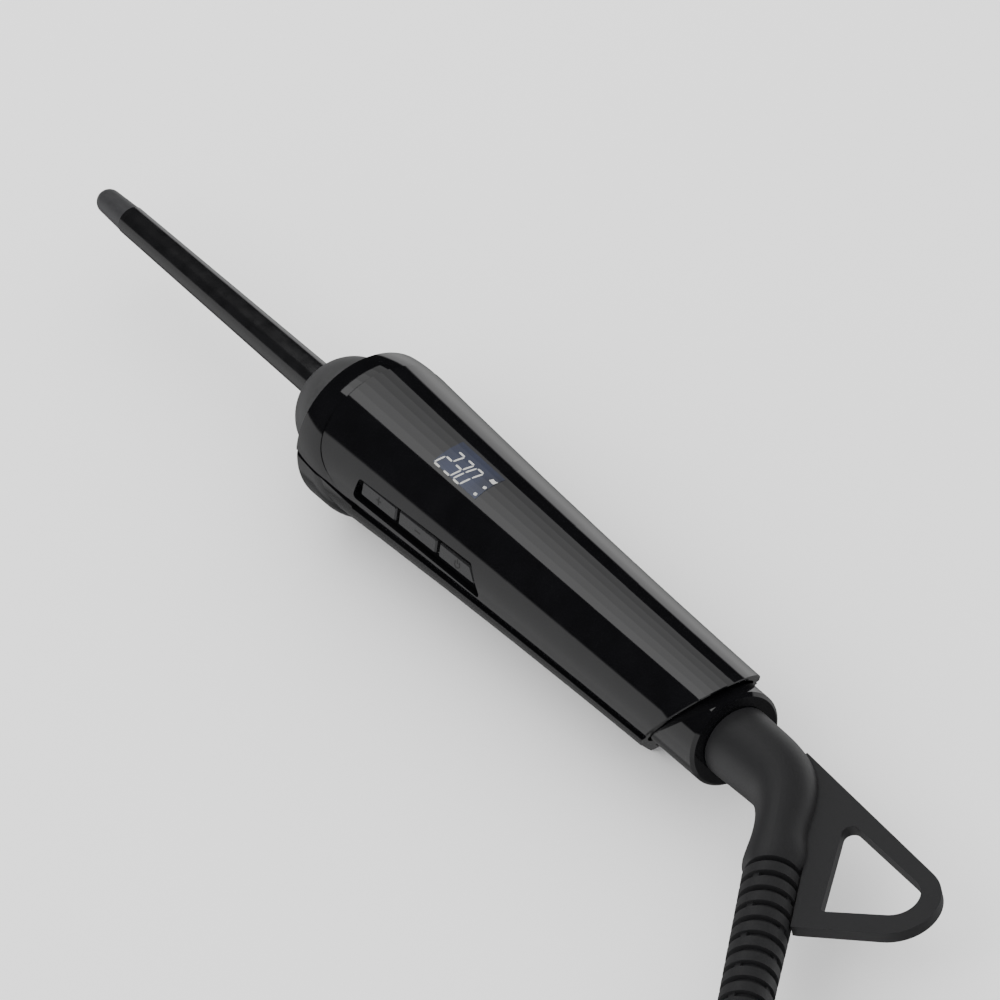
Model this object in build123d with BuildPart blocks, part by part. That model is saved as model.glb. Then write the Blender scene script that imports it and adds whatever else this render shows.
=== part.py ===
from build123d import *
import os
from math import acos, atan2, cos, hypot, pi, radians, sin, sqrt, tan

# Slim curling wand: heated barrel, two-part handle with a display and three side buttons, a stand that
# folds out under the front, and a cord that leaves through a swivel elbow with a hang loop.
# +X runs along the handle towards the cord, +Z is up, the buttons are on the -Y side, and the
# origin is the middle of the flat belly that the wand lies on. Lengths are in millimetres.

os.makedirs("parts", exist_ok=True)

# ---- driving dimensions -------------------------------------------------------------------------
AXIS_Z = 22.0              # height of the handle's axis over the belly
FIT = 0.05                 # radial clearance of a running fit

TIP_X = -181.6             # front end of the cool tip
SEAM_X = -169.7            # joint of tip and barrel
COLLAR_X = -79.5           # where the collar's dome meets its straight rim
RING_X = -74.2             # front face of the handle's front ring
SHELL_X = -66.0            # front edge of the upper shell on top
CHIN_END_X = -60.7         # rear end of the thick chin under the front ring
NOSE_R = 13.6              # radius of the upper shell's swept front corner, seen from the side
REAR_X = 78.0              # rear face of the fixed sleeve

BARREL_TIP_R = 3.65
BARREL_R = 4.55
BARREL_WALL = 0.8
TIP_R = 3.1
COLLAR_R = 13.5
COLLAR_DEPTH = 11.4
COLLAR_DROP = 1.2          # the collar sits this far below the barrel's axis

HANDLE_REAR_R = 15.1       # radius of the handle at TAPER_END_X
TAPER_END_X = 73.0
TAPER_LENGTH = 137.0
TAPER_LINEAR = 1.7         # the handle's radius grows by these two terms towards the front
TAPER_SQUARE = 2.6
WALL = 2.0
SHADOW_GAP_TOP = 1.2       # lower edge of the upper shell, over the axis
SHADOW_GAP_LOW = -0.9      # upper edge of the lower shell
REAR_CUT_X = 64.0          # the slanted rear end of both shells crosses the axis here
REAR_CUT_SLOPE = 0.79
REAR_CUT_SKEW = 0.15       # it also leans back towards +Y
BELLY_FRONT_X = -47.0      # front end of the flat belly
BELLY_HALF_WIDTH = 6.0

CHIN_R = 20.0              # ring and chin are round about a line this far below the axis:
CHIN_DROP = 1.6
SEAT_R = 18.6              # the shell over the folded stand
STAND_INNER_R = 19.0
STAND_HALF_WIDTH = 11.0
PIN_X = -72.0
PIN_Z = -19.7
PIN_R = 0.9
KNUCKLE_ROOM_R = 2.1
SWING_ROOM_R = 3.0         # room for the stand's front edge as it swings past the seat

BUTTON_X = -25.0           # middle of the button pocket
BUTTON_ANGLE = -70.0       # its direction round the axis, from the top
BUTTON_TRAVEL = 0.5
KEY_LOW = -1.2             # lower and upper edges of the keys on the pocket's plane
KEY_HIGH = 2.8
PLUS = [(-23.7, KEY_LOW), (-23.5, KEY_HIGH), (-10.4, KEY_HIGH), (-10.4, KEY_LOW)]
MINUS = [(-9.3, KEY_LOW), (-9.3, KEY_HIGH), (5.2, KEY_HIGH), (5.2, KEY_LOW)]
POWER = [(6.3, KEY_LOW), (6.3, KEY_HIGH), (18.0, KEY_HIGH), (20.8, KEY_LOW)]
SWITCH_SPOTS = (-17.0, -2.0, 13.0)

SLEEVE_R = 12.6
STEM_R = 8.5
ELBOW_R = 9.1
ELBOW_END_R = 6.7
ELBOW_TURN = 45.0          # degrees, towards the buttons' side
ELBOW_CORNER = 22.5        # from the sleeve's face to the corner of the elbow's centre line
ELBOW_LENGTH = 28.6        # from that corner to the strain relief
LOOP_THICK = 3.0
RELIEF_LENGTH = 55.4
RIB_PITCH = 4.8

CORD_D = 6.4
COIL_X = 223.5
COIL_Y = -55.2
COIL_OUTER_TURN = 48.1     # radius of the outermost turn's middle
COIL_INNER_TURN = 21.8
COIL_HEIGHT = 12.9         # two layers

AXIS = Axis((0, 0, AXIS_Z), (1, 0, 0))
SIDE = Plane(origin=(0, 0, AXIS_Z), x_dir=(1, 0, 0), z_dir=(0, -1, 0))
CHIN_AXIS = Axis((0, 0, AXIS_Z - CHIN_DROP), (1, 0, 0))
CHIN_SIDE = Plane(origin=(0, 0, AXIS_Z - CHIN_DROP), x_dir=(1, 0, 0), z_dir=(0, -1, 0))


def across(x):
    """Plane square to the axis: its x is Y and its y is Z."""
    return Plane(origin=(x, 0, AXIS_Z), x_dir=(0, 1, 0), z_dir=(1, 0, 0))


def level(z):
    """Horizontal plane at a height over the axis."""
    return Plane.XY.offset(AXIS_Z + z)


def handle_r(x):
    """Outer radius of the handle at x."""
    t = (TAPER_END_X - x) / TAPER_LENGTH
    return HANDLE_REAR_R + TAPER_LINEAR * t + TAPER_SQUARE * t * t


STATIONS = (-46.0, -20.0, 6.0, 32.0, 58.0)


def taper_line(x0, x1, inset):
    """Points on the handle's outline from x0 to x1, moved in by inset."""
    xs = [x0] + [x for x in STATIONS if x0 < x < x1] + [x1]
    return [(x, handle_r(x) - inset) for x in xs]


def revolve_points(points):
    """Solid of revolution about the handle's axis of a closed outline of (x, radius) points."""
    with BuildSketch(SIDE) as profile:
        with BuildLine():
            Polyline(*points, close=True)
        make_face()
    revolve(profile.sketch, axis=AXIS)


def revolve_band(x0, x1, inset, inner=None, mode=Mode.ADD):
    """Body of revolution under the handle's outline: a wall if inner is given, else solid."""
    outline = taper_line(x0, x1, inset)
    if inner is None:
        outline += [(x1, 0), (x0, 0)]
    else:
        outline += reversed(taper_line(x0, x1, inner))
    with BuildSketch(SIDE) as profile:
        with BuildLine():
            Polyline(*outline, close=True)
        make_face()
    revolve(profile.sketch, axis=AXIS, mode=mode)


def rod_x(x0, x1, r, y=0.0, z=0.0, mode=Mode.ADD):
    """Round rod along X."""
    with BuildSketch(across(x0)) as end:
        with Locations((y, z)):
            Circle(r)
    extrude(end.sketch, amount=x1 - x0, mode=mode)


def rod_y(x, z, r, y0, y1, mode=Mode.ADD):
    """Round rod along Y."""
    with BuildSketch(Plane(origin=(x, y0, AXIS_Z + z), x_dir=(1, 0, 0), z_dir=(0, 1, 0))) as end:
        Circle(r)
    extrude(end.sketch, amount=y1 - y0, mode=mode)


def rod_z(x, y, r, z0, z1, mode=Mode.ADD):
    """Upright round rod; z0 and z1 are heights over the axis."""
    with BuildSketch(level(z0)) as end:
        with Locations((x, y)):
            Circle(r)
    extrude(end.sketch, amount=z1 - z0, mode=mode)


def block(x0, x1, y0, y1, z0, z1, mode=Mode.ADD):
    """Box between two corners; z0 and z1 are heights over the axis."""
    with Locations(((x0 + x1) / 2, (y0 + y1) / 2, AXIS_Z + (z0 + z1) / 2)):
        Box(x1 - x0, y1 - y0, z1 - z0, mode=mode)


def side_region(points, mode):
    """Prism across the whole handle over an outline seen from the side."""
    with BuildSketch(SIDE) as region:
        with BuildLine():
            Polyline(*points, close=True)
        make_face()
    extrude(region.sketch, amount=60, both=True, mode=mode)


def nose_region(gap, mode):
    """Prism over everything behind the upper shell's swept front edge, grown by gap."""
    corner_x = SHELL_X + NOSE_R
    corner_z = SHADOW_GAP_TOP + NOSE_R
    with BuildSketch(SIDE) as region:
        with BuildLine():
            sweep_edge = CenterArc((corner_x, corner_z), NOSE_R + gap, 180, 90)
            Polyline(sweep_edge @ 1, (140, SHADOW_GAP_TOP - gap), (140, 40), (SHELL_X - gap, 40), sweep_edge @ 0)
        make_face()
    extrude(region.sketch, amount=60, both=True, mode=mode)


def cut_rear():
    """Trims a shell at the slanted rear plane."""
    slant = Plane(origin=(REAR_CUT_X, 0, AXIS_Z), z_dir=(1, -REAR_CUT_SKEW, -REAR_CUT_SLOPE))
    split(bisect_by=slant, keep=Keep.BOTTOM)


# The button pocket's own plane: its x runs along the handle, its y towards the top, its z out of it.
SLOPE = (handle_r(BUTTON_X - 25) - handle_r(BUTTON_X + 25)) / 50
OUT = Vector(0, sin(radians(BUTTON_ANGLE)), cos(radians(BUTTON_ANGLE)))
ALONG = Vector(1, 0, 0) - OUT * SLOPE
BUTTON_PLANE = Plane(
    origin=Vector(BUTTON_X, 0, AXIS_Z) + OUT * handle_r(BUTTON_X),
    x_dir=ALONG,
    z_dir=OUT + Vector(1, 0, 0) * SLOPE,
)
POCKET = [(-24.4, 3.0), (18.4, 3.9), (23.6, -3.5), (-26.0, -2.9)]

# The elbow lies in the level plane of the axis and turns towards -Y.
TURN = radians(ELBOW_TURN)
ELBOW_DIR = Vector(cos(TURN), -sin(TURN), 0)
ELBOW_SIDE = Vector(sin(TURN), cos(TURN), 0)
CORNER = Vector(REAR_X + ELBOW_CORNER, 0, AXIS_Z)
RELIEF_START = CORNER + ELBOW_DIR * ELBOW_LENGTH
RELIEF_PLANE = Plane(origin=RELIEF_START, x_dir=(0, 0, 1), z_dir=ELBOW_DIR)

# ---- barrel and front ---------------------------------------------------------------------------
with BuildPart() as tip_cap:
    revolve_points([(SEAM_X + 6, 0), (SEAM_X + 6, 2.75), (SEAM_X, 2.75), (SEAM_X, 3.5), (TIP_X + TIP_R, TIP_R),
                    (TIP_X + TIP_R, 0)])
    with Locations((TIP_X + TIP_R, 0, AXIS_Z)):
        Sphere(TIP_R)
tip_cap.part.label = "tip_cap"
export_step(tip_cap.part, "parts/tip_cap.step")

BARREL_BASE_X = COLLAR_X - COLLAR_DEPTH + 0.7
BARREL_END_X = -50.0
with BuildPart() as barrel_tube:
    revolve_points([(SEAM_X + 0.1, BARREL_TIP_R), (BARREL_BASE_X, BARREL_R), (BARREL_END_X, BARREL_R),
                    (BARREL_END_X, BARREL_R - BARREL_WALL), (BARREL_BASE_X, BARREL_R - BARREL_WALL),
                    (SEAM_X + 0.1, BARREL_TIP_R - BARREL_WALL)])
barrel_tube.part.label = "barrel_tube"
export_step(barrel_tube.part, "parts/barrel_tube.step")

HEATER_X = (-152.0, -88.0)
with BuildPart() as ceramic_heater:
    rod_x(*HEATER_X, 2.3)
ceramic_heater.part.label = "ceramic_heater"
export_step(ceramic_heater.part, "parts/ceramic_heater.step")

with BuildPart() as heater_leads:
    for y in (-1.3, 1.3):
        rod_x(HEATER_X[1] + 0.1, -39.0, 0.5, y, 0.4)
heater_leads.part.label = "heater_leads"
export_step(heater_leads.part, "parts/heater_leads.step")

with BuildPart() as thermistor:
    rod_x(HEATER_X[1] + 1, HEATER_X[1] + 5, 0.8, 0, 1.9)
    for y in (-0.4, 0.4):
        rod_x(HEATER_X[1] + 4.5, -42.1, 0.22, y, 1.9)
thermistor.part.label = "thermistor"
export_step(thermistor.part, "parts/thermistor.step")

COLLAR_AXIS = Axis((0, 0, AXIS_Z - COLLAR_DROP), (1, 0, 0))
with BuildPart() as collar:
    with BuildSketch(Plane(origin=(0, 0, AXIS_Z - COLLAR_DROP), x_dir=(1, 0, 0), z_dir=(0, -1, 0))):
        with BuildLine():
            dome = EllipticalCenterArc((COLLAR_X, 0), COLLAR_DEPTH, COLLAR_R, 90, arc_size=90)
            under = EllipticalCenterArc((COLLAR_X, 0), COLLAR_DEPTH - 2.2, COLLAR_R - 2.2, 90, arc_size=90)
            Line(dome @ 1, under @ 1)
            Polyline(dome @ 0, (RING_X + 3, COLLAR_R), (RING_X + 3, COLLAR_R - 2.2), under @ 0)
        make_face()
    revolve(axis=COLLAR_AXIS)
    rod_x(-100, -60, BARREL_R + FIT, mode=Mode.SUBTRACT)
collar.part.label = "collar"
export_step(collar.part, "parts/collar.step")

HOLDER_X = (RING_X + 3.1, -48.5)
with BuildPart() as barrel_holder:
    rod_x(*HOLDER_X, 11.4)
    rod_x(HOLDER_X[0], HOLDER_X[0] + 3, 16.45)
    rod_x(HOLDER_X[0] - 1, -49.9, BARREL_R + FIT, mode=Mode.SUBTRACT)
    rod_x(-50, -48, 3.6, mode=Mode.SUBTRACT)
barrel_holder.part.label = "barrel_holder"
export_step(barrel_holder.part, "parts/barrel_holder.step")

RING_BACK_X = -52.0
SPLIT_FRONT_Z = 3.9        # ring and lower shell meet in a line that falls from here at the front ...
SPLIT_BACK_Z = 0.3         # ... to here at RING_BACK_X
SPLIT_GAP = 0.5
FRONT_WALL_R = 16.9        # the ring's front wall below that line, inside the chin

with BuildPart() as chin_room:
    revolve_points([(-80, FRONT_WALL_R), (RING_X + 2.3, FRONT_WALL_R), (RING_X + 2.3, 30), (-80, 30)])
    side_region([(-81, SPLIT_FRONT_Z), (-69, SPLIT_FRONT_Z), (-69, -40), (-81, -40)], Mode.INTERSECT)

with BuildPart() as front_ring:
    with BuildSketch(CHIN_SIDE) as profile:
        with BuildLine():
            crown = ThreePointArc((RING_X + 0.7, CHIN_R - 0.4), (RING_X + 6.0, CHIN_R), (RING_X + 13.0, CHIN_R - 0.7))
            Polyline(crown @ 0, (RING_X, CHIN_R - 1.1), (RING_X, 13.0), (RING_X + 2.2, 13.0),
                     (RING_X + 2.2, 18.1), (RING_X + 6.7, 18.1), (RING_BACK_X, 16.4), (RING_BACK_X, 18.2),
                     crown @ 1)
        make_face()
    revolve(profile.sketch, axis=CHIN_AXIS)
    nose_region(0.15, Mode.SUBTRACT)
    side_region([(RING_X + 2.2, -30), (RING_X + 2.2, SPLIT_FRONT_Z), (RING_BACK_X, SPLIT_BACK_Z),
                 (RING_BACK_X + 1, -30)], Mode.SUBTRACT)
    add(chin_room.part, mode=Mode.SUBTRACT)
    rod_x(-80, -60, COLLAR_R + FIT, 0, -COLLAR_DROP, mode=Mode.SUBTRACT)
    rod_y(PIN_X, PIN_Z, 1.7, -3.0, 3.0)
    block(RING_X + 0.6, RING_X + 2.2, -3.0, 3.0, PIN_Z, -15.5)
    rod_y(PIN_X, PIN_Z, PIN_R + FIT, -10, 10, mode=Mode.SUBTRACT)
front_ring.part.label = "front_ring"
export_step(front_ring.part, "parts/front_ring.step")

# ---- shells -------------------------------------------------------------------------------------
SHELL_SCREWS = [(5.0, -11.2, -6.0), (-44.5, 11.5, -6.0), (30.0, 0.0, -8.0)]
HEAD_R = 2.2
HEAD_H = 1.6
SHANK_R = 1.1
SHANK_LENGTH = 9.0
BOSS_R = 3.2
BOARD_SCREWS = [(-38.5, 5.5), (21.0, 5.5)]
BOARD_Z = 1.0
BOARD_THICK = 1.6
LCD_TOP = 15.5

EDGE_CHAMFER = 0.8         # along the upper shell's front and lower edge
REAR_CHAMFER = 0.35


def is_outside(spot):
    """Whether a point lies on the handle's outer surface."""
    return hypot(spot.Y, spot.Z - AXIS_Z) > handle_r(spot.X) - 0.15


def is_nose_edge(edge):
    """Whether an edge of the upper shell is part of its outer front edge."""
    spot = edge @ 0.5
    corner = (SHELL_X + NOSE_R, AXIS_Z + SHADOW_GAP_TOP + NOSE_R)
    swept = abs(hypot(spot.X - corner[0], spot.Z - corner[1]) - NOSE_R) < 0.05 and spot.X < corner[0] - 0.3
    return is_outside(spot) and (swept or abs(spot.X - SHELL_X) < 0.05)


def is_rear_edge(edge):
    """Whether an edge of the upper shell is part of its outer rear edge."""
    spot = edge @ 0.5
    behind = spot.X - REAR_CUT_X - REAR_CUT_SKEW * spot.Y - REAR_CUT_SLOPE * (spot.Z - AXIS_Z)
    return is_outside(spot) and abs(behind) < 0.05


with BuildPart() as upper_shell:
    for x, y, z in SHELL_SCREWS:
        rod_z(x, y, BOSS_R, SHADOW_GAP_TOP, 30)
    revolve_band(SHELL_X, REAR_X + 2, 1.0, mode=Mode.INTERSECT)
    revolve_band(SHELL_X, REAR_X + 2, 0, WALL)
    nose_region(0, Mode.INTERSECT)
    cut_rear()
    for x, y, z in SHELL_SCREWS:
        rod_z(x, y, SHANK_R + 0.02, 0, 6, mode=Mode.SUBTRACT)
    block(-36, -14, -5.5, 5.5, 8, LCD_TOP + 0.2, mode=Mode.SUBTRACT)
    with BuildSketch(BUTTON_PLANE):
        with BuildLine():
            Polyline(*POCKET, close=True)
        make_face()
        fillet(vertices(), 1.0)
    extrude(amount=4.5, both=True, mode=Mode.SUBTRACT)
    chamfer(upper_shell.edges().filter_by(is_nose_edge), EDGE_CHAMFER)
    chamfer(upper_shell.edges().filter_by(is_rear_edge), REAR_CHAMFER)
upper_shell.part.label = "upper_shell"
export_step(upper_shell.part, "parts/upper_shell.step")


def belly_section(x, inset):
    """Outline across the keel: the flat belly and its sides, running out on the round shell above."""
    r = 0.99 * (handle_r(x) - inset)
    depth = AXIS_Z - inset
    half = BELLY_HALF_WIDTH - 0.6 * inset
    lean = atan2(half, depth) + acos(r / hypot(half, depth))
    edge = (r * sin(lean), -r * cos(lean))
    with BuildSketch(across(x)) as section:
        with BuildLine():
            Polyline((-half, -depth), (half, -depth), edge, (-edge[0], edge[1]), close=True)
        make_face()
    return section.sketch


def chin_ring():
    """Ring of the chin's profile, round about its lowered axis, with a rounded front and rear end."""
    with BuildSketch(CHIN_SIDE) as profile:
        with BuildLine():
            heel = EllipticalCenterArc((CHIN_END_X - 5.6, 17.3), 5.3, CHIN_R - 17.3, 0, arc_size=90)
            brow = CenterArc((RING_X + 2.1, CHIN_R - 1.5), 1.5, 90, 90)
            Line(heel @ 1, brow @ 0)
            Polyline(brow @ 1, (RING_X + 0.6, 15.0), (CHIN_END_X - 0.3, 15.0), heel @ 0)
        make_face()
    revolve(profile.sketch, axis=CHIN_AXIS)


SEAT = [(RING_X + 2.3, SEAT_R), (CHIN_END_X + 0.01, SEAT_R), (CHIN_END_X + 0.01, 16.6), (RING_X + 2.3, 16.6)]
WALL_FRONT_X = -64.0       # the lower shell's round wall starts here, inside the chin

# The lip stands up along both edges of the lower shell and closes the shadow gap behind.
with BuildPart() as lip:
    revolve_band(-50, REAR_X, 0.8, WALL + 0.1)
    side_region([(-60, SHADOW_GAP_TOP - 0.05), (90, SHADOW_GAP_TOP - 0.05), (90, 30), (-60, 30)],
                Mode.SUBTRACT)
    side_region([(-60, -2.0), (90, -2.0), (90, -40), (-60, -40)], Mode.SUBTRACT)

with BuildPart() as lower_shell:
    revolve_band(WALL_FRONT_X, REAR_X, 0)
    for x0, x1 in ((-54.0, 0.0), (0.0, 54.0)):
        loft([belly_section(x0, 0), belly_section(x1, 0)], ruled=True)
    side_region([(-60, -40), (BELLY_FRONT_X, -AXIS_Z), (-54.5, -17), (-60, -17)], Mode.SUBTRACT)
    side_region([(RING_BACK_X, SHADOW_GAP_LOW), (90, SHADOW_GAP_LOW), (90, 30), (RING_BACK_X, 30)],
                Mode.SUBTRACT)
    revolve_band(WALL_FRONT_X - 1, REAR_X, WALL, mode=Mode.SUBTRACT)
    for x0, x1 in ((-44.0, 2.0), (2.0, 50.0)):
        loft([belly_section(x0, WALL), belly_section(x1, WALL)], ruled=True, mode=Mode.SUBTRACT)
    chin_ring()
    rod_x(-80, CHIN_END_X + 0.6, 16.6, mode=Mode.SUBTRACT)
    rod_x(-80, RING_X + 2.3, FRONT_WALL_R + 0.15, mode=Mode.SUBTRACT)
    block(-80, CHIN_END_X, -STAND_HALF_WIDTH - 0.3, STAND_HALF_WIDTH + 0.3, -30, -13, mode=Mode.SUBTRACT)
    revolve_points(SEAT)
    rod_y(PIN_X, PIN_Z, KNUCKLE_ROOM_R, -8.5, 8.5, mode=Mode.SUBTRACT)
    for y0, y1 in ((-9.5, -4.5), (4.5, 9.5)):
        rod_y(PIN_X, PIN_Z, SWING_ROOM_R, y0, y1, mode=Mode.SUBTRACT)
    side_region([(-80, SPLIT_FRONT_Z - SPLIT_GAP), (RING_X, SPLIT_FRONT_Z - SPLIT_GAP),
                 (RING_BACK_X, SPLIT_BACK_Z - SPLIT_GAP), (RING_BACK_X, 30), (-80, 30)], Mode.SUBTRACT)
    add(lip.part)
    for x, y, z in SHELL_SCREWS:
        rod_z(x, y, BOSS_R, -sqrt((handle_r(x) - 1) ** 2 - (abs(y) + BOSS_R) ** 2) if y else 1 - AXIS_Z,
              SHADOW_GAP_TOP - 0.05)
        if y:
            rod_z(x, y * 0.93, BOSS_R - 1.0, 1 - handle_r(x) * 0.85, -2)
    for x, y in BOARD_SCREWS:
        rod_z(x, y, 2.0, -18, BOARD_Z)
        rod_z(x, y, SHANK_R - 0.2, BOARD_Z - 6.5, BOARD_Z, mode=Mode.SUBTRACT)
    for x, y, z in SHELL_SCREWS:
        rod_z(x, y, HEAD_R + 0.2, -40, z + HEAD_H, mode=Mode.SUBTRACT)
        rod_z(x, y, SHANK_R + 0.15, -10, 5, mode=Mode.SUBTRACT)
    cut_rear()
lower_shell.part.label = "lower_shell"
export_step(lower_shell.part, "parts/lower_shell.step")

with BuildPart() as stand:
    chin_ring()
    rod_x(-80, -50, STAND_INNER_R, mode=Mode.SUBTRACT)
    block(-80, -50, -STAND_HALF_WIDTH, STAND_HALF_WIDTH, -30, -10, mode=Mode.INTERSECT)
    block(-80, PIN_X + 2.2, -3.3, 3.3, -30, -10, mode=Mode.SUBTRACT)
    for y0, y1 in ((-8.2, -3.3), (3.3, 8.2)):
        rod_y(PIN_X, PIN_Z, 1.7, y0, y1)
    rod_y(PIN_X, PIN_Z, PIN_R + 0.01, -8.5, 8.5, mode=Mode.SUBTRACT)
stand.part.label = "stand"
export_step(stand.part, "parts/stand.step")

with BuildPart() as stand_pin:
    rod_y(PIN_X, PIN_Z, PIN_R, -7.6, 7.6)
stand_pin.part.label = "stand_pin"
export_step(stand_pin.part, "parts/stand_pin.step")

with BuildPart() as shell_screws:
    for x, y, z in SHELL_SCREWS:
        rod_z(x, y, HEAD_R, z, z + HEAD_H)
        rod_z(x, y, SHANK_R, z + HEAD_H, z + HEAD_H + SHANK_LENGTH)
        block(x - 1.4, x + 1.4, y - 0.3, y + 0.3, z, z + 0.8, mode=Mode.SUBTRACT)
        block(x - 0.3, x + 0.3, y - 1.4, y + 1.4, z, z + 0.8, mode=Mode.SUBTRACT)
shell_screws.part.label = "shell_screws"
export_step(shell_screws.part, "parts/shell_screws.step")

# ---- electronics --------------------------------------------------------------------------------
with BuildPart() as main_board:
    block(-42, 24, -5.5, 8.5, BOARD_Z, BOARD_Z + BOARD_THICK)
    for x, y in BOARD_SCREWS:
        rod_z(x, y, SHANK_R, BOARD_Z - 1, BOARD_Z + 3, mode=Mode.SUBTRACT)
main_board.part.label = "main_board"
export_step(main_board.part, "parts/main_board.step")

with BuildPart() as board_screws:
    for x, y in BOARD_SCREWS:
        rod_z(x, y, 1.8, BOARD_Z + BOARD_THICK, BOARD_Z + BOARD_THICK + 1.2)
        rod_z(x, y, SHANK_R - 0.25, BOARD_Z - 5, BOARD_Z + BOARD_THICK)
board_screws.part.label = "board_screws"
export_step(board_screws.part, "parts/board_screws.step")

BOARD_TOP = BOARD_Z + BOARD_THICK
with BuildPart() as board_parts:
    block(-8, 2, -3, 5, BOARD_TOP, BOARD_TOP + 6.5)
    block(5, 9, -4, 6, BOARD_TOP, BOARD_TOP + 4)
    rod_z(14, 1, 3.4, BOARD_TOP, BOARD_TOP + 8)
    rod_z(14, -3.6, 0.8, BOARD_TOP, BOARD_TOP + 2)
board_parts.part.label = "board_parts"
export_step(board_parts.part, "parts/board_parts.step")

with BuildPart() as display_holder:
    block(-34.9, -14.9, -5.2, 5.2, BOARD_TOP, LCD_TOP - 2)
    block(-33, -17, -3.6, 3.6, BOARD_TOP + 1.5, LCD_TOP - 1, mode=Mode.SUBTRACT)
display_holder.part.label = "display_holder"
export_step(display_holder.part, "parts/display_holder.step")

with BuildPart() as display_panel:
    block(-34.9, -14.9, -5.2, 5.2, LCD_TOP - 2, LCD_TOP)
display_panel.part.label = "display_panel"
export_step(display_panel.part, "parts/display_panel.step")


KEY_FACE = 0.45            # depth of the keys' faces under the handle's surface
BEZEL_TOP = 2.0
BEZEL_THICK = 1.4
KEY_MIDDLE = (KEY_LOW + KEY_HIGH) / 2


def key_outline(corners, depth, grow):
    """Rounded outline of one key at a depth under the handle's surface, grown all round."""
    with BuildSketch(BUTTON_PLANE.offset(-depth)) as outline:
        Polygon(*corners, align=None)
        fillet(outline.vertices(), 0.7)
        if grow:
            offset(amount=grow, mode=Mode.REPLACE)
    return outline.sketch


with BuildPart() as button_bezel:
    with BuildSketch(BUTTON_PLANE.offset(-BEZEL_TOP)):
        with BuildLine():
            Polyline(*POCKET, close=True)
        make_face()
        fillet(vertices(), 1.0)
        offset(amount=-0.08, mode=Mode.REPLACE)
    extrude(amount=-BEZEL_THICK)
    for corners in (PLUS, MINUS, POWER):
        extrude(key_outline(corners, BEZEL_TOP + BEZEL_THICK + 1, 0.2), amount=4, mode=Mode.SUBTRACT)
button_bezel.part.label = "button_bezel"
export_step(button_bezel.part, "parts/button_bezel.step")


def make_key(corners, spot):
    """One key: a face bar through the insert, a flange behind it and a stem to its switch."""
    back = BEZEL_TOP + BEZEL_THICK + 0.1
    with BuildPart() as key:
        extrude(key_outline(corners, back, 0), amount=back - KEY_FACE)
        face = key.faces().sort_by(Axis(BUTTON_PLANE.origin, BUTTON_PLANE.z_dir))[-1]
        chamfer(face.edges(), 0.4)
        extrude(key_outline(corners, back, 0.5), amount=-0.6)
        with BuildSketch(BUTTON_PLANE.offset(-back - 0.6)):
            with Locations((spot, KEY_MIDDLE)):
                Circle(1.0)
        extrude(amount=-0.7)
    return key


button_plus = make_key(PLUS, SWITCH_SPOTS[0])
button_plus.part.label = "button_plus"
export_step(button_plus.part, "parts/button_plus.step")

button_minus = make_key(MINUS, SWITCH_SPOTS[1])
button_minus.part.label = "button_minus"
export_step(button_minus.part, "parts/button_minus.step")

button_power = make_key(POWER, SWITCH_SPOTS[2])
button_power.part.label = "button_power"
export_step(button_power.part, "parts/button_power.step")

SWITCH_TOP = BEZEL_TOP + BEZEL_THICK + 1.4 + BUTTON_TRAVEL + 0.1
with BuildPart() as tact_switches:
    for spot in SWITCH_SPOTS:
        with BuildSketch(BUTTON_PLANE.offset(-SWITCH_TOP - 0.7)):
            with Locations((spot, KEY_MIDDLE)):
                Rectangle(4.4, 4.4)
        extrude(amount=-1.2)
        with BuildSketch(BUTTON_PLANE.offset(-SWITCH_TOP)):
            with Locations((spot, KEY_MIDDLE)):
                Circle(0.9)
        extrude(amount=-0.8)
tact_switches.part.label = "tact_switches"
export_step(tact_switches.part, "parts/tact_switches.step")

with BuildPart() as button_board:
    with BuildSketch(BUTTON_PLANE.offset(-SWITCH_TOP - 1.9)):
        with Locations((0, KEY_MIDDLE)):
            Rectangle(44.5, 6.0)
    extrude(amount=-1.0)
button_board.part.label = "button_board"
export_step(button_board.part, "parts/button_board.step")

# ---- swivel -------------------------------------------------------------------------------------
with BuildPart() as rear_sleeve:
    revolve_points([(46, 10.2), (46, 13.2), (49, 13.2), (49, SLEEVE_R), (REAR_X - 0.8, SLEEVE_R),
                    (REAR_X, SLEEVE_R - 0.8), (REAR_X, STEM_R + FIT), (52.4, STEM_R + FIT), (52.4, 10.2)])
rear_sleeve.part.label = "rear_sleeve"
export_step(rear_sleeve.part, "parts/rear_sleeve.step")

# (distance along the centre line's two legs, radius) of the elbow's round sections
STRAIGHT = [(REAR_X + 0.4, ELBOW_R), (REAR_X + 7.0, ELBOW_R - 0.1), (REAR_X + 14.0, ELBOW_R - 0.3)]
BENT = [(8.6, 7.3), (17.0, 6.9), (ELBOW_LENGTH - 0.4, ELBOW_END_R)]
MIDDLE_R = 8.15
BEND_CUT = 2.2             # how far the rounded bend passes inside the corner

# Outlines of the hang loop and its hole behind REAR_X; the far corner of each is rounded wide.
OUTER_LOOP = [(17.0, 0.0), (17.0, 8.9), (101.4, 5.0), (61.4, -27.0), (60.4, -27.6), (45.2, -12.4),
              (40.0, -16.0), (22.5, 0.0)]
LOOP_HOLE = [(40.8, 2.9), (86.9, 1.6), (61.5, -19.7)]

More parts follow.
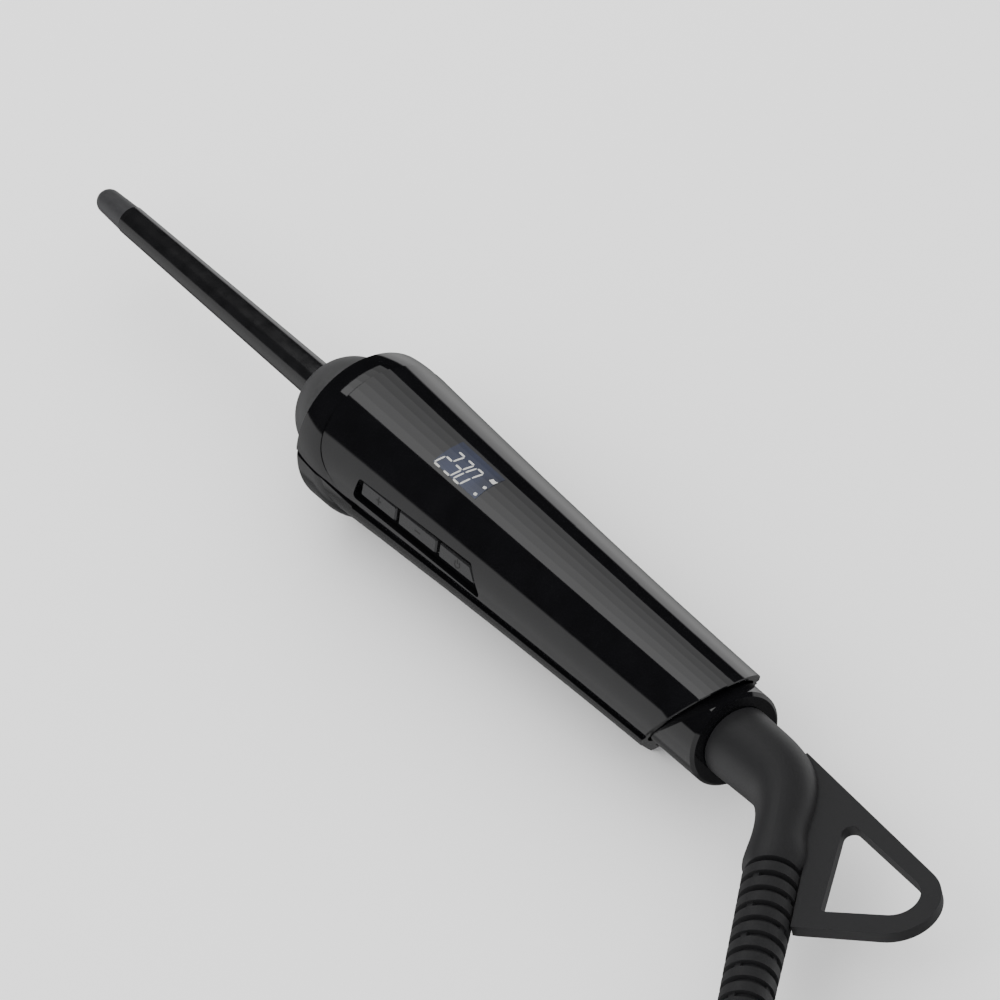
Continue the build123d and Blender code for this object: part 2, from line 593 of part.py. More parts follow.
with BuildPart() as swivel_elbow:
    for x, r in STRAIGHT:
        with BuildSketch(across(x)):
            Circle(r)
    half = TURN / 2
    middle = CORNER + Vector(-sin(half), -cos(half), 0) * BEND_CUT * 0.75
    with BuildSketch(Plane(origin=middle, x_dir=(0, 0, 1), z_dir=(cos(half), -sin(half), 0))):
        Circle(MIDDLE_R)
    for along, r in BENT:
        with BuildSketch(Plane(origin=CORNER + ELBOW_DIR * along, x_dir=(0, 0, 1), z_dir=ELBOW_DIR)):
            Circle(r)
    loft()
    with BuildSketch(Plane.XY.offset(AXIS_Z - LOOP_THICK / 2)):
        with BuildLine():
            Polyline(*[(REAR_X + x, y) for x, y in OUTER_LOOP], close=True)
        make_face()
        fillet(vertices().sort_by(Axis.X)[-1], 11.5)
    extrude(amount=LOOP_THICK)
    with BuildSketch(Plane.XY.offset(AXIS_Z - LOOP_THICK / 2)):
        with BuildLine():
            Polyline(*[(REAR_X + x, y) for x, y in LOOP_HOLE], close=True)
        make_face()
        fillet(vertices().sort_by(Axis.X)[-1], 6.5)
        fillet(vertices().sort_by(Axis.X)[0], 2.2)
        fillet(vertices().sort_by(Axis.Y)[0], 1.0)
    extrude(amount=LOOP_THICK, mode=Mode.SUBTRACT)
    rod_x(52.6, REAR_X + 0.5, STEM_R)
    rod_x(48.9, 52.7, 7.0)
    rod_x(35.5, 49.0, 5.0)
    rod_x(35.0, CORNER.X, 2.4, mode=Mode.SUBTRACT)
    with Locations(CORNER):
        Sphere(2.4, mode=Mode.SUBTRACT)
    with BuildSketch(RELIEF_PLANE.offset(1)):
        Circle(2.4)
    extrude(amount=-ELBOW_LENGTH - 1, mode=Mode.SUBTRACT)
swivel_elbow.part.label = "swivel_elbow"
export_step(swivel_elbow.part, "parts/swivel_elbow.step")

with BuildPart() as swivel_clip:
    rod_x(49.3, 52.0, 9.9)
    rod_x(49.0, 52.5, 7.02, mode=Mode.SUBTRACT)
    block(49, 52.5, -2, 2, 5, 12, mode=Mode.SUBTRACT)
swivel_clip.part.label = "swivel_clip"
export_step(swivel_clip.part, "parts/swivel_clip.step")

RING_SPOTS = (38.0, 43.0)
with BuildPart() as slip_rings:
    for x in RING_SPOTS:
        rod_x(x, x + 2.4, 6.0)
        rod_x(x - 1, x + 3, 5.02, mode=Mode.SUBTRACT)
slip_rings.part.label = "slip_rings"
export_step(slip_rings.part, "parts/slip_rings.step")

with BuildPart() as contact_block:
    block(36.5, 45.5, -4.8, 4.8, -12.5, -9.5)
    block(36.5, 45.5, -2.8, 2.8, -13.2, -12.5)
contact_block.part.label = "contact_block"
export_step(contact_block.part, "parts/contact_block.step")

with BuildPart() as contact_brushes:
    for x in RING_SPOTS:
        block(x + 0.6, x + 1.8, -2.4, 2.4, -6.35, -6.05)
        block(x + 0.6, x + 1.8, 2.1, 2.4, -9.5, -6.05)
        block(x + 0.6, x + 1.8, -2.4, -2.1, -9.5, -6.05)
contact_brushes.part.label = "contact_brushes"
export_step(contact_brushes.part, "parts/contact_brushes.step")

with BuildPart() as supply_leads:
    for y in (-4.0, 4.0):
        with BuildLine() as lead:
            FilletPolyline((36.5, y, AXIS_Z - 11), (28, y, AXIS_Z - 11), (18, y * 0.5, AXIS_Z - 6),
                           (18, y * 0.5, AXIS_Z + BOARD_Z), radius=1.8)
        with BuildSketch(Plane(origin=lead.line @ 0, z_dir=lead.line % 0)):
            Circle(0.7)
        sweep(path=lead.line)
supply_leads.part.label = "supply_leads"
export_step(supply_leads.part, "parts/supply_leads.step")

with BuildPart() as swivel_leads:
    for z in (-1.1, 1.1):
        with BuildLine() as core:
            FilletPolyline((35.6, 0, AXIS_Z + z), (CORNER.X, 0, AXIS_Z + z),
                           RELIEF_START + Vector(0, 0, z) - ELBOW_DIR * 0.1, radius=4)
        with BuildSketch(Plane(origin=core.line @ 0, z_dir=core.line % 0)):
            Circle(0.9)
        sweep(path=core.line)
swivel_leads.part.label = "swivel_leads"
export_step(swivel_leads.part, "parts/swivel_leads.step")

# ---- strain relief ------------------------------------------------------------------------------
RIBS = 11
RIB_WIDTH = 2.9
BRIDGE_ANGLE = 20         # of the first pair of small bridges between the ribs
CORE_R = 5.3


def rib_r(along):
    """Outer radius of the ribs: a slow taper, then a quick one over the last quarter."""
    slow = 7.15 - 0.016 * along
    return slow - 1.9 * max(0.0, (along - 43.0) / (RELIEF_LENGTH - 43.0)) ** 1.5


outline = [(0, 0), (5.4, 0)]
for i in range(RIBS):
    start = 1.7 + RIB_PITCH * i
    core = min(CORE_R, rib_r(start) - 1.4)
    end = start + RIB_WIDTH
    outline += [(core, start), (rib_r(start), start), (rib_r(end), end), (min(CORE_R, rib_r(end) - 1.4), end)]
outline += [(4.1, RELIEF_LENGTH), (0, RELIEF_LENGTH)]

with BuildPart() as strain_relief:
    with BuildSketch(Plane(origin=RELIEF_START, x_dir=(0, 0, 1), z_dir=(sin(TURN), cos(TURN), 0))):
        with BuildLine():
            Polyline(*outline, close=True)
        make_face()
    revolve(axis=Axis(RELIEF_START, ELBOW_DIR))
    for i in range(RIBS - 1):
        along = 1.7 + RIB_PITCH * i + (RIB_WIDTH + RIB_PITCH) / 2
        with BuildSketch(RELIEF_PLANE.offset(along - 1.1)):
            with PolarLocations(rib_r(along) - 1.5, 2, start_angle=90 * (i % 2) + BRIDGE_ANGLE):
                Rectangle(1.6, 1.6)
        extrude(amount=2.2)
strain_relief.part.label = "strain_relief"
export_step(strain_relief.part, "parts/strain_relief.step")

# ---- cord ---------------------------------------------------------------------------------------
RUN_ROUTE = [(159.9, -59.4, 22), (169.8, -69.3, 22), (180.8, -80.3, 15.6), (191.3, -91.6, 8.4),
             (204.3, -100.4, 4.4), (222.7, -103.5, 3.3)]
TAIL_ROUTE = [(204.6, -14.6, 9.7), (194.1, -19.5, 10.3), (180.9, -31.7, 13.8), (175.1, -48.7, 17.4),
              (177.9, -66.5, 19.6), (188.7, -80.9, 20.3), (205.0, -88.5, 20.3), (222.4, -90.0, 20.3)]


def cord_radii(points):
    """Radius of the arc at each inner point of a cord's route: 0.45 of its shorter run over tan(half turn)."""
    radii = []
    for before, here, after in zip(points, points[1:], points[2:]):
        run_in = Vector(*here) - Vector(*before)
        run_out = Vector(*after) - Vector(*here)
        turn = run_in.get_angle(run_out)
        radii.append(0.45 * min(run_in.length, run_out.length) / tan(radians(turn) / 2))
    return radii


def cord_tube(name, points):
    """Round cord along straight runs joined by tangent arcs; prints its radii and checks its volume."""
    radii = cord_radii(points)
    with BuildPart() as tube:
        with BuildLine() as path:
            FilletPolyline(*points, radius=radii)
        with BuildSketch(Plane(origin=path.line @ 0, z_dir=path.line % 0)):
            Circle(CORD_D / 2)
        sweep(path=path.line)
    length = sum(edge.length for edge in path.edges())
    share = tube.part.volume / (pi * CORD_D ** 2 / 4 * length)
    print(name, "length", round(length, 1), "radii", [round(r, 1) for r in radii],
          "volume share", round(share, 4))
    return tube


cord_run = cord_tube("cord_run", RUN_ROUTE)
cord_run.part.label = "cord_run"
export_step(cord_run.part, "parts/cord_run.step")

with BuildPart() as cord_coil:
    with BuildSketch(Plane.XY):
        with Locations((COIL_X, COIL_Y)):
            Circle(COIL_OUTER_TURN + CORD_D / 2 + 0.2)
            Circle(COIL_INNER_TURN - CORD_D / 2 - 0.2, mode=Mode.SUBTRACT)
    extrude(amount=COIL_HEIGHT)
cord_coil.part.label = "cord_coil"
export_step(cord_coil.part, "parts/cord_coil.step")

cord_tail = cord_tube("cord_tail", TAIL_ROUTE)
cord_tail.part.label = "cord_tail"
export_step(cord_tail.part, "parts/cord_tail.step")

# The plug lies flat on top of the coil; its own z runs from the cord to the pins.
PLUG_THICK = 13.8
tail_end = Vector(*TAIL_ROUTE[-1])
before_end = Vector(*TAIL_ROUTE[-2])
plug_dir = Vector(tail_end.X - before_end.X, tail_end.Y - before_end.Y, 0).normalized()
PLUG_PLANE = Plane(origin=tail_end, x_dir=(0, 0, 1), z_dir=plug_dir)
with BuildPart() as plug_body:
    with BuildSketch(PLUG_PLANE):
        Circle(4.3)
    with BuildSketch(PLUG_PLANE.offset(14)):
        Circle(5.6)
    loft()
    with BuildSketch(PLUG_PLANE.offset(14)):
        RectangleRounded(11, 14, 4)
    with BuildSketch(PLUG_PLANE.offset(20)):
        RectangleRounded(PLUG_THICK, 25, 5)
    with BuildSketch(PLUG_PLANE.offset(30)):
        RectangleRounded(PLUG_THICK, 26, 5)
    loft()
    with BuildSketch(PLUG_PLANE.offset(30)):
        RectangleRounded(PLUG_THICK, 34, 5)
    extrude(amount=5)
    for y in (-9.3, 9.3):
        with BuildSketch(PLUG_PLANE.offset(31)):
            with Locations((0, y)):
                Circle(2.0)
        extrude(amount=5, mode=Mode.SUBTRACT)
plug_body.part.label = "plug_body"
export_step(plug_body.part, "parts/plug_body.step")

with BuildPart() as plug_pins:
    for y in (-9.3, 9.3):
        with BuildSketch(PLUG_PLANE.offset(31)):
            with Locations((0, y)):
                Circle(2.0)
        extrude(amount=23)
    fillet(plug_pins.faces().sort_by(Axis(tail_end, plug_dir))[-2:].edges(), 1.2)
plug_pins.part.label = "plug_pins"
export_step(plug_pins.part, "parts/plug_pins.step")
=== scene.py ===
import math
import bmesh
import bpy
from mathutils import Matrix, Vector


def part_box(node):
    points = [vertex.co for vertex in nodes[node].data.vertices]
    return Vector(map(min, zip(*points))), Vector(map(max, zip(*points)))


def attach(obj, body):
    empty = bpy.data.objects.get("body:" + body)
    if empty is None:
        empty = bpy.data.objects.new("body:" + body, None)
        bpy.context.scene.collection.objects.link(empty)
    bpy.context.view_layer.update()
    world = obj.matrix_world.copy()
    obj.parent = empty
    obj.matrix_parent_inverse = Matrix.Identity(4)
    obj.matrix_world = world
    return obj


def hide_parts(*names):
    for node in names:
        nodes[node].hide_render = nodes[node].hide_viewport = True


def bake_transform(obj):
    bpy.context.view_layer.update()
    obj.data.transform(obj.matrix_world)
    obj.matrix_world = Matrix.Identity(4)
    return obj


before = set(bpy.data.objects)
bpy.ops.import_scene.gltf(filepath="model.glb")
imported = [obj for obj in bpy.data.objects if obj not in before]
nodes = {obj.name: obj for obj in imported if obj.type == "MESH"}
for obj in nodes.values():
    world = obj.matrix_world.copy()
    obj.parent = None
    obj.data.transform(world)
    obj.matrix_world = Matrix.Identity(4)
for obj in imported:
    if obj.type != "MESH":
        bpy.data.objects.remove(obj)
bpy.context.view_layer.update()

scene = bpy.context.scene
MM = 0.001
AXIS_Z = 0.022

LENS = 1440
CAMERA_DISTANCE = 9.32
back = Vector((0.652, -0.320, 0.687)).normalized()
right = Vector((0, 0, 1)).cross(back).normalized()
up = back.cross(right)
roll = math.radians(13.8)
cam_right = math.cos(roll) * right - math.sin(roll) * up
cam_up = math.sin(roll) * right + math.cos(roll) * up
sleeve_face = Vector((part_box("rear_sleeve")[1].x, 0, AXIS_Z))
target = sleeve_face - 0.0549 * cam_right + 0.0560 * cam_up
camera = bpy.data.objects.new("camera", bpy.data.cameras.new("camera"))
scene.collection.objects.link(camera)
camera.data.lens = LENS
camera.data.sensor_width = 36
camera.data.clip_start = 1
camera.data.clip_end = 100
spin = Matrix((cam_right, cam_up, back)).transposed()
camera.matrix_world = Matrix.Translation(target + back * CAMERA_DISTANCE) @ spin.to_4x4()
scene.camera = camera


# ---- helpers ---------------------------------------------------------------
def link(name, mesh):
    obj = bpy.data.objects.new(name, mesh)
    scene.collection.objects.link(obj)
    return obj


def mesh_piece(name, verts, faces, material, body, smooth=True):
    """A new mesh piece, in metres, that rides on a body."""
    mesh = bpy.data.meshes.new(name)
    mesh.from_pydata([tuple(v) for v in verts], [], faces)
    mesh.validate()
    bm = bmesh.new()
    bm.from_mesh(mesh)
    bmesh.ops.recalc_face_normals(bm, faces=bm.faces)
    bm.to_mesh(mesh)
    bm.free()
    mesh.polygons.foreach_set("use_smooth", [smooth] * len(mesh.polygons))
    mesh.materials.append(material)
    obj = link(name, mesh)
    if body:
        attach(obj, body)
    return obj


def handle_r(x):
    """Radius of the handle at x, both in metres."""
    t = (0.073 - x) / 0.137
    return (15.1 + 1.7 * t + 2.6 * t * t) * MM


# ---- materials -------------------------------------------------------------
PLASTIC_IOR = 1.47


def material(name, color, rough, vary=0.15, rough_vary=0.25, scale=400, bump=0.0, bump_scale=900,
             metallic=0.0):
    """Procedural finish: colour and roughness vary with noise, and a fine bump gives the grain."""
    mat = bpy.data.materials.new(name)
    mat.use_nodes = True
    tree = mat.node_tree
    shader = tree.nodes["Principled BSDF"]
    shader.inputs["Metallic"].default_value = metallic
    shader.inputs["IOR"].default_value = PLASTIC_IOR
    place = tree.nodes.new("ShaderNodeTexCoord")
    noise = tree.nodes.new("ShaderNodeTexNoise")
    noise.inputs["Scale"].default_value = scale
    noise.inputs["Detail"].default_value = 5
    tree.links.new(place.outputs["Object"], noise.inputs["Vector"])
    ramp = tree.nodes.new("ShaderNodeValToRGB")
    low = [c * (1 - vary) for c in color]
    high = [min(1, c * (1 + vary)) for c in color]
    ramp.color_ramp.elements[0].position = 0.3
    ramp.color_ramp.elements[0].color = (*low, 1)
    ramp.color_ramp.elements[1].position = 0.7
    ramp.color_ramp.elements[1].color = (*high, 1)
    tree.links.new(noise.outputs["Fac"], ramp.inputs["Fac"])
    tree.links.new(ramp.outputs["Color"], shader.inputs["Base Color"])
    spread = tree.nodes.new("ShaderNodeMapRange")
    spread.inputs["From Min"].default_value = 0.3
    spread.inputs["From Max"].default_value = 0.7
    spread.inputs["To Min"].default_value = rough * (1 - rough_vary)
    spread.inputs["To Max"].default_value = rough * (1 + rough_vary)
    tree.links.new(noise.outputs["Fac"], spread.inputs["Value"])
    tree.links.new(spread.outputs["Result"], shader.inputs["Roughness"])
    if bump:
        grain = tree.nodes.new("ShaderNodeTexNoise")
        grain.inputs["Scale"].default_value = bump_scale
        grain.inputs["Detail"].default_value = 3
        tree.links.new(place.outputs["Object"], grain.inputs["Vector"])
        lift = tree.nodes.new("ShaderNodeBump")
        lift.inputs["Strength"].default_value = bump
        lift.inputs["Distance"].default_value = 0.0001
        tree.links.new(grain.outputs["Fac"], lift.inputs["Height"])
        tree.links.new(lift.outputs["Normal"], shader.inputs["Normal"])
    return mat


gloss = material("gloss_black", (0.0035, 0.0035, 0.004), 0.05, bump=0.004, bump_scale=60, scale=120)
barrel_black = material("barrel_black", (0.006, 0.006, 0.0065), 0.16, bump=0.03, bump_scale=1500, scale=300)
satin = material("collar_satin", (0.034, 0.034, 0.035), 0.55, rough_vary=0.1, scale=1500, bump=0.12,
                 bump_scale=2600)
cap_matt = material("cap_matt", (0.026, 0.026, 0.028), 0.5, rough_vary=0.1, scale=1500, bump=0.15,
                    bump_scale=2600)
key_satin = material("key_satin", (0.012, 0.012, 0.013), 0.30, bump=0.08, bump_scale=2600)
matt = material("swivel_matt", (0.013, 0.013, 0.014), 0.52, vary=0.1, rough_vary=0.08, scale=2200, bump=0.2,
                bump_scale=2400)
rubber = material("relief_rubber", (0.012, 0.012, 0.013), 0.58, rough_vary=0.1, scale=1800, bump=0.25,
                  bump_scale=2000)
cord_rubber = material("cord_rubber", (0.012, 0.012, 0.013), 0.48, bump=0.2, bump_scale=1600)
steel = material("steel", (0.55, 0.55, 0.56), 0.3, metallic=1.0, bump=0.1, bump_scale=3000)
brass = material("brass", (0.72, 0.53, 0.24), 0.28, metallic=1.0, bump=0.08, bump_scale=3000)
board = material("board", (0.02, 0.16, 0.07), 0.35, vary=0.3, scale=900)
part_black = material("component", (0.03, 0.03, 0.032), 0.45)
white = material("white_plastic", (0.72, 0.71, 0.68), 0.45, bump=0.1)
ceramic = material("heater_ceramic", (0.78, 0.75, 0.70), 0.6, bump=0.2)
glass = material("display_glass", (0.05, 0.10, 0.18), 0.08)
lead = material("lead_insulation", (0.55, 0.06, 0.04), 0.45)
holder = material("holder_plastic", (0.45, 0.42, 0.36), 0.5, bump=0.1)
digit_white = material("display_digits", (0.42, 0.42, 0.40), 0.4, vary=0.05, scale=900)
lcd_blue = material("display_tint", (0.006, 0.010, 0.028), 0.06, vary=0.6, scale=70)
symbol_black = material("symbol_black", (0.004, 0.004, 0.004), 0.5)

finish_of = {
    "tip_cap": cap_matt, "barrel_tube": barrel_black, "ceramic_heater": ceramic, "heater_leads": lead,
    "thermistor": ceramic, "collar": satin, "barrel_holder": holder, "front_ring": gloss,
    "upper_shell": gloss, "lower_shell": gloss, "stand": gloss, "stand_pin": steel, "shell_screws": steel,
    "main_board": board, "board_screws": steel, "board_parts": part_black, "display_holder": white,
    "display_panel": glass, "button_bezel": gloss, "button_plus": key_satin, "button_minus": key_satin,
    "button_power": key_satin, "tact_switches": part_black, "button_board": board, "rear_sleeve": gloss,
    "swivel_elbow": matt, "swivel_clip": steel, "slip_rings": brass, "contact_block": white,
    "contact_brushes": brass, "supply_leads": lead, "swivel_leads": lead, "strain_relief": rubber,
    "cord_run": cord_rubber, "cord_coil": cord_rubber, "cord_tail": cord_rubber, "plug_body": cord_rubber,
    "plug_pins": brass,
}
for name, finish in finish_of.items():
    slots = nodes[name].data.materials
    slots.clear()
    slots.append(finish)

# ---- cord ------------------------------------------------------------------
RUN_ROUTE = [(159.9, -59.4, 22), (169.8, -69.3, 22), (180.8, -80.3, 15.6), (191.3, -91.6, 8.4),
             (204.3, -100.4, 4.4), (222.7, -103.5, 3.3)]
TAIL_ROUTE = [(204.6, -14.6, 9.7), (194.1, -19.5, 10.3), (180.9, -31.7, 13.8), (175.1, -48.7, 17.4),
              (177.9, -66.5, 19.6), (188.7, -80.9, 20.3), (205.0, -88.5, 20.3), (222.4, -90.0, 20.3)]
COIL_X, COIL_Y = 223.5, -55.2
CORD_R = 3.2
# The lower layer winds inwards, then the cord climbs one thickness and the upper layer winds outwards.
FIRST_TURN, LAST_TURN, TURN_STEP = -31.0, 2672, 15.0
CLIMB_START, CLIMB = 1350, 60
OUTER_R, INNER_R = 48.1, 21.8
PITCH_IN, PITCH_OUT = 6.58, 6.52
LAYER_Z, LAYER_STEP = 3.3, 6.4
CHORD_SCALE = 1.0043       # partly makes up for the curve running inside its points
coil = []
turn = FIRST_TURN
while turn < LAST_TURN:
    if turn < CLIMB_START:
        radius = OUTER_R - PITCH_IN * (turn + 90) / 360
        height = LAYER_Z
    else:
        radius = INNER_R + PITCH_OUT * max(0, turn - CLIMB_START - CLIMB) / 360
        height = LAYER_Z + LAYER_STEP * min(1, (turn - CLIMB_START) / CLIMB)
    radius *= CHORD_SCALE
    angle = math.radians(turn - 45)
    coil.append((COIL_X + radius * math.cos(angle), COIL_Y + radius * math.sin(angle), height))
    turn += TURN_STEP
route = [Vector(p) * MM for p in RUN_ROUTE + coil + TAIL_ROUTE]
line = bpy.data.curves.new("cord_line", "CURVE")
line.dimensions = "3D"
line.resolution_u = 6
spline = line.splines.new("NURBS")
spline.points.add(len(route) - 1)
for point, where in zip(spline.points, route):
    point.co = (*where, 1)
spline.order_u = 3
spline.use_endpoint_u = True
line_obj = link("cord_line", line)
bpy.context.view_layer.update()
traced = bpy.data.meshes.new_from_object(line_obj)
path = [v.co.copy() for v in traced.vertices]
bpy.data.objects.remove(line_obj)
bpy.data.meshes.remove(traced)

SIDES = 16
rings = []
normal = Vector((0, 0, 1))
for i, here in enumerate(path):
    ahead = path[min(i + 1, len(path) - 1)] - path[max(i - 1, 0)]
    ahead.normalize()
    normal = (normal - ahead * normal.dot(ahead)).normalized()
    side = ahead.cross(normal)
    rings.append([here + CORD_R * MM * (math.cos(a) * normal + math.sin(a) * side)
                  for a in (2 * math.pi * k / SIDES for k in range(SIDES))])
verts = [v for ring in rings for v in ring]
faces = [(i * SIDES + k, i * SIDES + (k + 1) % SIDES, (i + 1) * SIDES + (k + 1) % SIDES, (i + 1) * SIDES + k)
         for i in range(len(rings) - 1) for k in range(SIDES)]
faces.append(tuple(range(SIDES)))
faces.append(tuple((len(rings) - 1) * SIDES + k for k in range(SIDES)))
cord = mesh_piece("mains_cord", verts, faces, cord_rubber, None)
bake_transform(cord)
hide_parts("cord_run", "cord_coil", "cord_tail")

# ---- display marks and key symbols ------------------------------------------
def on_handle(x, v, lift):
    """Point on the handle in metres; x along it, v round it from the top, lift out of it, all in mm."""
    r = handle_r(x * MM) / MM + lift
    turn = v / r
    return Vector((x, r * math.sin(turn), AXIS_Z / MM + r * math.cos(turn))) * MM


def strip_solid(rows, place, low, high):
    """Closed thin solid over a strip given as (left, right) pairs of 2-D points."""
    verts, faces = [], []
    for (a, b) in rows:
        verts += [place(*a, low), place(*b, low), place(*b, high), place(*a, high)]
    for i in range(len(rows) - 1):
        for k in range(4):
            faces.append((4 * i + k, 4 * i + (k + 1) % 4, 4 * i + 4 + (k + 1) % 4, 4 * i + 4 + k))
    last = 4 * len(rows) - 4
    faces += [(0, 1, 2, 3), (last, last + 1, last + 2, last + 3)]
    return verts, faces


END_WIDTH = 0.55           # a bar's ends, as a share of its width


def bar_rows(start, end, width, steps=6):
    """Strip of a straight bar, narrowed at both ends."""
    a, b = Vector(start), Vector(end)
    ahead = (b - a).normalized()
    side = Vector((-ahead.y, ahead.x)) * width / 2
    rows = []
    for i in range(steps + 1):
        t = i / steps
        here = a.lerp(b, t)
        reach = END_WIDTH if i in (0, steps) else 1.0
        rows.append((tuple(here - side * reach), tuple(here + side * reach)))
    return rows


def marks(name, strips, place, low, high, finish, body):
    """One piece made of several thin strips."""
    verts, faces = [], []
    for rows in strips:
        more, sides = strip_solid(rows, place, low, high)
        faces += [tuple(i + len(verts) for i in face) for face in sides]
        verts += more
    return mesh_piece(name, verts, faces, finish, body, smooth=False)


SEGMENTS = {"a": ((0, 1), (1, 1)), "b": ((1, 1), (1, 0.5)), "c": ((1, 0.5), (1, 0)), "d": ((0, 0), (1, 0)),
            "e": ((0, 0), (0, 0.5)), "f": ((0, 0.5), (0, 1)), "g": ((0, 0.5), (1, 0.5))}
DIGIT_WIDTH, DIGIT_HEIGHT, DIGIT_PITCH, DIGIT_SLANT = 2.55, 6.05, 3.76, 1.95
DIGIT_X, DIGIT_V = -33.0, -4.45
SEGMENT_WIDTH, SEGMENT_TRIM = 0.5, 0.22
DOT_WIDTH = 0.75


def digit_point(k, u, w):
    return (DIGIT_X + k * DIGIT_PITCH + u * DIGIT_WIDTH + w * DIGIT_SLANT, DIGIT_V + w * DIGIT_HEIGHT)


strips = []
for k, lit in enumerate(("abged", "abgcd", "abcdef")):
    for key in lit:
        start, end = (Vector(digit_point(k, *p)) for p in SEGMENTS[key])
        trim = (end - start).normalized() * SEGMENT_TRIM
        strips.append(bar_rows(start + trim, end - trim, SEGMENT_WIDTH))
strips.append([((-18.5, 1.3), (-18.2, 2.3)), ((-17.3, 1.15), (-17.2, 2.2)), ((-16.7, 1.2), (-16.4, 2.4))])
strips.append(bar_rows((-17.75, -0.95), (-16.75, -0.8), DOT_WIDTH))
strips.append(bar_rows((-17.95, -3.65), (-17.0, -3.5), DOT_WIDTH))
marks("display_digits", strips, on_handle, 0.05, 0.10, digit_white, "root")

LCD_X = (-33.4, -16.4)
LCD_HALF = 4.5
rows = [((LCD_X[0], v), (LCD_X[1], v)) for v in (LCD_HALF * (i / 6 - 1) for i in range(13))]
marks("display_window", [rows], on_handle, 0.0, 0.06, lcd_blue, "root")

# The keys' own plane: x along the handle, y towards the top, lift out of the keys' faces.
BUTTON_X, BUTTON_ANGLE, KEY_FACE = -25.0, math.radians(-70), 0.45
outward = Vector((0, math.sin(BUTTON_ANGLE), math.cos(BUTTON_ANGLE)))
slope = (handle_r((BUTTON_X - 25) * MM) - handle_r((BUTTON_X + 25) * MM)) / (50 * MM)
key_x = (Vector((1, 0, 0)) - outward * slope).normalized()
key_z = (outward + Vector((1, 0, 0)) * slope).normalized()
key_y = key_z.cross(key_x)
key_origin = Vector((BUTTON_X, 0, AXIS_Z / MM)) + outward * handle_r(BUTTON_X * MM) / MM


def on_keys(x, y, lift):
    return (key_origin + key_x * x + key_y * y + key_z * (lift - KEY_FACE)) * MM


def ring_rows(x, y, r, width, start, end, steps=20):
    """Strip along an arc from start to end degrees."""
    rows = []
    for i in range(steps + 1):
        turn = math.radians(start + (end - start) * i / steps)
        ray = Vector((math.cos(turn), math.sin(turn)))
        centre = Vector((x, y))
        rows.append((tuple(centre + ray * (r - width / 2)), tuple(centre + ray * (r + width / 2))))
    return rows


KEY_Y = 0.8
PLUS_X, POWER_X = -17.0, 13.4
PLUS_LINE, MINUS_LINE, POWER_LINE = 0.32, 0.34, 0.3
symbols = {
    "plus": [bar_rows((PLUS_X - 0.9, KEY_Y), (PLUS_X + 0.9, KEY_Y), PLUS_LINE),
             bar_rows((PLUS_X, KEY_Y - 1.1), (PLUS_X, KEY_Y - 0.17), PLUS_LINE),
             bar_rows((PLUS_X, KEY_Y + 0.17), (PLUS_X, KEY_Y + 1.1), PLUS_LINE)],
    "minus": [bar_rows((-3.1, KEY_Y), (-0.9, KEY_Y), MINUS_LINE)],
    "power": [ring_rows(POWER_X, KEY_Y - 0.1, 0.95, POWER_LINE, 125, 415),
              bar_rows((POWER_X, KEY_Y), (POWER_X, KEY_Y + 1.25), POWER_LINE)],
}
for key, strips in symbols.items():
    marks(key + "_symbol", strips, on_keys, -0.03, 0.04, symbol_black, "button_" + key)

# ---- floor and light -------------------------------------------------------
floor_mat = bpy.data.materials.new("floor")
floor_mat.use_nodes = True
floor_mat.node_tree.nodes["Principled BSDF"].inputs["Base Color"].default_value = (0.93, 0.93, 0.93, 1)
floor_mat.node_tree.nodes["Principled BSDF"].inputs["Roughness"].default_value = 0.9
FLOOR_HALF, FLOOR_Z = 6.0, -0.0004
corners = [(x * FLOOR_HALF, y * FLOOR_HALF, FLOOR_Z) for x, y in ((-1, -1), (1, -1), (1, 1), (-1, 1))]
floor = mesh_piece("floor", corners, [(0, 1, 2, 3)], floor_mat, None, smooth=False)
floor.visible_glossy = False

# Radiance of the studio against the angle round the X axis, from the top towards +Y, in degrees.
BANDS = [(-180, 0.16), (-158, 0.2), (-150, 0.5), (-122, 0.8), (-120, 0.9), (-73, 1.05), (-70, 0.0), (82, 0.0),
         (85, 1.3), (105, 1.15), (125, 0.55), (140, 0.22), (160, 0.12), (180, 0.16)]
world = bpy.data.worlds.new("studio")
scene.world = world
world.use_nodes = True
tree = world.node_tree
tree.nodes.clear()
out = tree.nodes.new("ShaderNodeOutputWorld")
place = tree.nodes.new("ShaderNodeTexCoord")
split = tree.nodes.new("ShaderNodeSeparateXYZ")
tree.links.new(place.outputs["Generated"], split.inputs[0])
angle = tree.nodes.new("ShaderNodeMath")
angle.operation = "ARCTAN2"
tree.links.new(split.outputs["Y"], angle.inputs[0])
tree.links.new(split.outputs["Z"], angle.inputs[1])
spread = tree.nodes.new("ShaderNodeMapRange")
spread.inputs["From Min"].default_value = -math.pi
spread.inputs["From Max"].default_value = math.pi
tree.links.new(angle.outputs[0], spread.inputs["Value"])
ramp = tree.nodes.new("ShaderNodeValToRGB")
stops = ramp.color_ramp.elements
while len(stops) > 1:
    stops.remove(stops[-1])
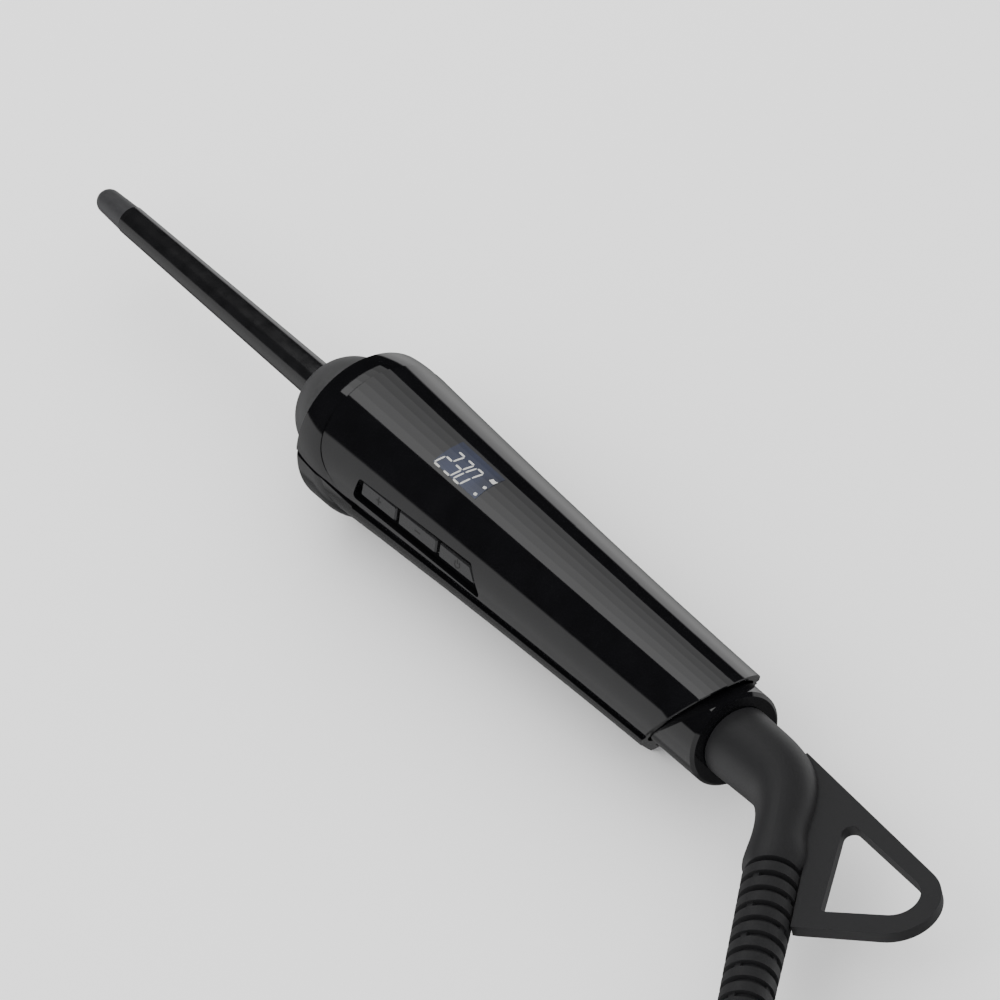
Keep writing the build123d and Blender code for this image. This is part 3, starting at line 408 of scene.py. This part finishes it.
for i, (degrees, level) in enumerate(BANDS):
    stop = stops[0] if i == 0 else stops.new((degrees + 180) / 360)
    stop.position = (degrees + 180) / 360
    stop.color = (level / 2, level / 2, level / 2, 1)
tree.links.new(spread.outputs["Result"], ramp.inputs["Fac"])
mirror = tree.nodes.new("ShaderNodeBackground")
mirror.inputs["Strength"].default_value = 2.0
tree.links.new(ramp.outputs["Color"], mirror.inputs["Color"])
soft = tree.nodes.new("ShaderNodeBackground")
soft.inputs["Color"].default_value = (1, 1, 1, 1)
soft.inputs["Strength"].default_value = 1.75
rays = tree.nodes.new("ShaderNodeLightPath")
mix = tree.nodes.new("ShaderNodeMixShader")
tree.links.new(rays.outputs["Is Glossy Ray"], mix.inputs["Fac"])
tree.links.new(soft.outputs[0], mix.inputs[1])
tree.links.new(mirror.outputs[0], mix.inputs[2])
tree.links.new(mix.outputs[0], out.inputs["Surface"])


def area(name, where, aim, width, height, power, mirror_seen=True):
    light = bpy.data.lights.new(name, "AREA")
    light.shape = "RECTANGLE"
    light.size = width
    light.size_y = height
    light.energy = power
    obj = link(name, light)
    toward = (Vector(aim) - Vector(where)).normalized()
    across = Vector((1, 0, 0))
    across = (across - toward * across.dot(toward)).normalized()
    turn = Matrix((across, -toward.cross(across), -toward)).transposed()
    obj.matrix_world = Matrix.Translation(Vector(where)) @ turn.to_4x4()
    obj.visible_camera = False
    obj.visible_glossy = mirror_seen
    return obj


def overhead(name, theta, spread, distance, x0, x1, power):
    """A long box of light parallel to the X axis, seen in the handle at an angle round it."""
    angle = math.radians(theta)
    where = ((x0 + x1) / 2, distance * math.sin(angle), AXIS_Z + distance * math.cos(angle))
    height = 2 * distance * math.tan(math.radians(spread / 2))
    return area(name, where, (where[0], 0, AXIS_Z), x1 - x0, height, power)


BOX_START, BOX_SPREAD, BOX_POWER = -12, 13.6, 0.19
for k, level in enumerate((1.0, 0.86, 0.7, 0.54, 0.4)):
    overhead("top_box_%d" % k, BOX_START + BOX_SPREAD * (k + 0.5), BOX_SPREAD, 0.5, -0.512, -0.30,
             level * BOX_POWER)
area("key", (0.5, -1.4, 1.8), (0, 0, 0), 1.2, 1.2, 12, mirror_seen=False)
